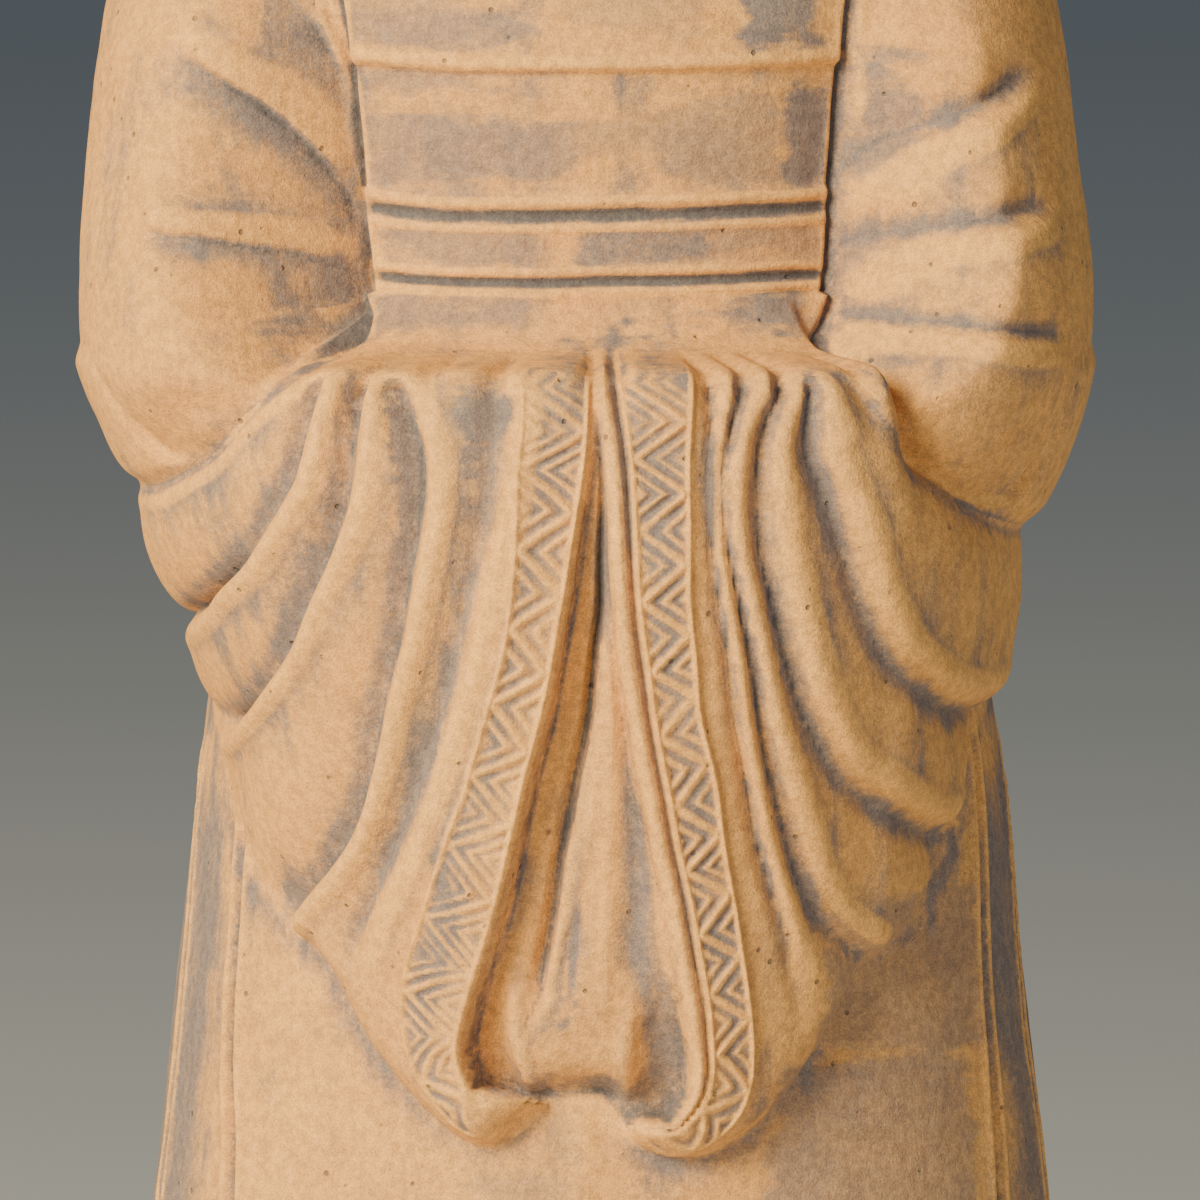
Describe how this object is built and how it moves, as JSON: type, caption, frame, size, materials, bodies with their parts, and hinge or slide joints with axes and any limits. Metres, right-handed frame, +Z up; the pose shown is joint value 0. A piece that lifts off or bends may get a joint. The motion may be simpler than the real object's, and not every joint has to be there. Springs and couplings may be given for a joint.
{
  "type": "terracotta official statue",
  "caption": "Standing robed attendant in fired clay, hands tucked into wide hanging sleeves with banded cuffs, on a low base.",
  "frame": {"origin": "centre of the flat underside of the base", "axes": "+Z up, -Y the way the figure faces, +X to the right of someone who stands facing it"},
  "size_m": [0.172, 0.1377, 0.485],
  "materials": {
    "fired_clay": "matte, with a thin grey-blue wash left in the hollows"
  },
  "bodies": {
    "root": {"statue": "fired_clay"}
  },
  "joints": []
}
